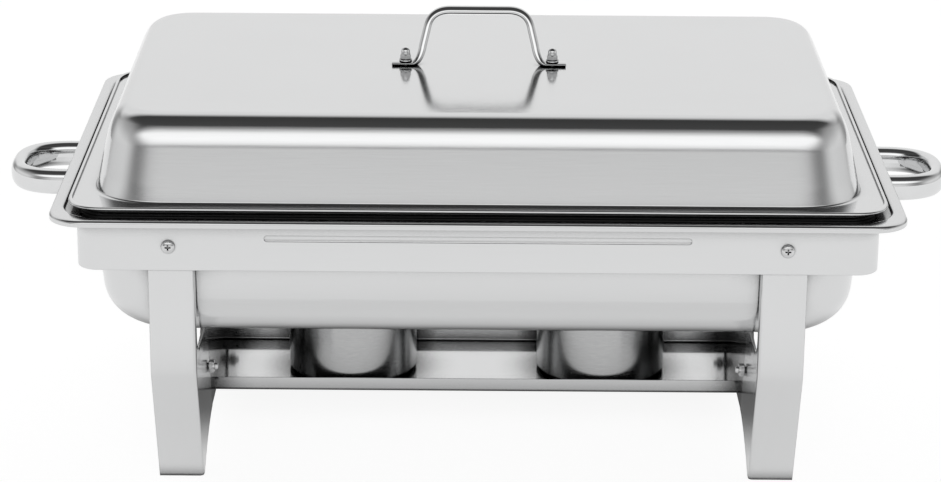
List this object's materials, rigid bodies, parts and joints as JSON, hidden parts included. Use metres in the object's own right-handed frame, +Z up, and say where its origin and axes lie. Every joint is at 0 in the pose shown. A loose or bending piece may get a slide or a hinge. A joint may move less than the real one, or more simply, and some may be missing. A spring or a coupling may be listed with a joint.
{
  "type": "chafing dish food warmer",
  "caption": "Rectangular stainless chafing dish: folding frame with a water pan, a food pan, a domed lid with a bail handle, and a burner tray with fuel cups.",
  "frame": {"origin": "bottom centre of the whole object, on the surface the feet stand on", "axes": "+X along the length towards the right end handle, -Y towards the front rail, +Z up"},
  "size_m": [0.6654, 0.36, 0.2899],
  "materials": {
    "mirror_steel": "stainless steel, bright polished",
    "satin_steel": "stainless steel, satin with a fine lengthwise grain",
    "brushed_steel": "stainless steel, drawn and brushed round its axis",
    "plated_steel": "bright plated steel fasteners"
  },
  "bodies": {
    "frame": {"frame_ring": "satin_steel", "end_handle_left": "mirror_steel", "end_handle_right": "mirror_steel", "end_handle_screw_front_left": "plated_steel", "end_handle_screw_rear_left": "plated_steel", "end_handle_screw_front_right": "plated_steel", "end_handle_screw_rear_right": "plated_steel", "pivot_screw_front_left": "plated_steel", "pivot_washer_front_left": "plated_steel", "pivot_nut_front_left": "plated_steel", "pivot_screw_rear_left": "plated_steel", "pivot_washer_rear_left": "plated_steel", "pivot_nut_rear_left": "plated_steel", "pivot_screw_front_right": "plated_steel", "pivot_washer_front_right": "plated_steel", "pivot_nut_front_right": "plated_steel", "pivot_screw_rear_right": "plated_steel", "pivot_washer_rear_right": "plated_steel", "pivot_nut_rear_right": "plated_steel"},
    "left_legs": {"leg_front_left": "satin_steel", "leg_rear_left": "satin_steel", "cross_panel_left": "satin_steel", "web_bolt_front_left": "plated_steel", "web_nut_front_left": "plated_steel", "web_bolt_rear_left": "plated_steel", "web_nut_rear_left": "plated_steel"},
    "right_legs": {"leg_front_right": "satin_steel", "leg_rear_right": "satin_steel", "cross_panel_right": "satin_steel", "web_bolt_front_right": "plated_steel", "web_nut_front_right": "plated_steel", "web_bolt_rear_right": "plated_steel", "web_nut_rear_right": "plated_steel"},
    "water_pan": {"water_pan": "satin_steel"},
    "food_pan": {"food_pan": "mirror_steel"},
    "lid": {"lid": "mirror_steel", "lid_bail": "mirror_steel", "bail_bolt_left": "plated_steel", "bail_washer_left": "plated_steel", "bail_acorn_nut_left": "plated_steel", "bail_bolt_right": "plated_steel", "bail_washer_right": "plated_steel", "bail_acorn_nut_right": "plated_steel"},
    "burner_tray": {"burner_tray": "mirror_steel"},
    "left_cup": {"fuel_cup_left": "brushed_steel"},
    "left_cover": {"cup_cover_left": "brushed_steel", "damper_rivet_left": "plated_steel"},
    "left_damper": {"damper_left": "brushed_steel"},
    "right_cup": {"fuel_cup_right": "brushed_steel"},
    "right_cover": {"cup_cover_right": "brushed_steel", "damper_rivet_right": "plated_steel"},
    "right_damper": {"damper_right": "brushed_steel"}
  },
  "joints": [
    {"name": "left_leg_fold", "type": "hinge", "parent": "frame", "child": "left_legs", "pos_m": [-0.206, 0, 0.167], "axis": [0, -1, 0], "range_deg": [0, 87]},
    {"name": "right_leg_fold", "type": "hinge", "parent": "frame", "child": "right_legs", "pos_m": [0.206, 0, 0.167], "axis": [0, 1, 0], "range_deg": [0, 87]},
    {"name": "water_pan_lift", "type": "slide", "parent": "frame", "child": "water_pan", "axis": [0, 0, 1], "range_m": [0, 0.38]},
    {"name": "food_pan_lift", "type": "slide", "parent": "water_pan", "child": "food_pan", "axis": [0, 0, 1], "range_m": [0, 0.12]},
    {"name": "lid_lift", "type": "slide", "parent": "food_pan", "child": "lid", "axis": [0, 0, 1], "range_m": [0, 0.25]},
    {"name": "burner_tray_lift", "type": "slide", "parent": "frame", "child": "burner_tray", "axis": [0, 0, 1], "range_m": [0, 0.2]},
    {"name": "left_cup_lift", "type": "slide", "parent": "burner_tray", "child": "left_cup", "axis": [0, 0, 1], "range_m": [0, 0.095]},
    {"name": "left_cover_lift", "type": "slide", "parent": "left_cup", "child": "left_cover", "axis": [0, 0, 1], "range_m": [0, 0.008]},
    {"name": "left_damper_swivel", "type": "hinge", "parent": "left_cover", "child": "left_damper", "pos_m": [-0.09, 0.033, 0.082], "axis": [0, 0, 1], "range_deg": [0, 100]},
    {"name": "right_cup_lift", "type": "slide", "parent": "burner_tray", "child": "right_cup", "axis": [0, 0, 1], "range_m": [0, 0.095]},
    {"name": "right_cover_lift", "type": "slide", "parent": "right_cup", "child": "right_cover", "axis": [0, 0, 1], "range_m": [0, 0.008]},
    {"name": "right_damper_swivel", "type": "hinge", "parent": "right_cover", "child": "right_damper", "pos_m": [0.09, 0.033, 0.082], "axis": [0, 0, 1], "range_deg": [-100, 0]}
  ],
  "couplings": [
    {"joint": "right_leg_fold", "follows": "left_leg_fold", "ratio": 1},
    {"joint": "water_pan_lift", "follows": "left_leg_fold", "m_per_rad": 0.25},
    {"joint": "burner_tray_lift", "follows": "left_leg_fold", "m_per_rad": 0.13},
    {"joint": "left_cup_lift", "follows": "left_leg_fold", "m_per_rad": 0.06},
    {"joint": "right_cup_lift", "follows": "left_leg_fold", "m_per_rad": 0.06}
  ]
}
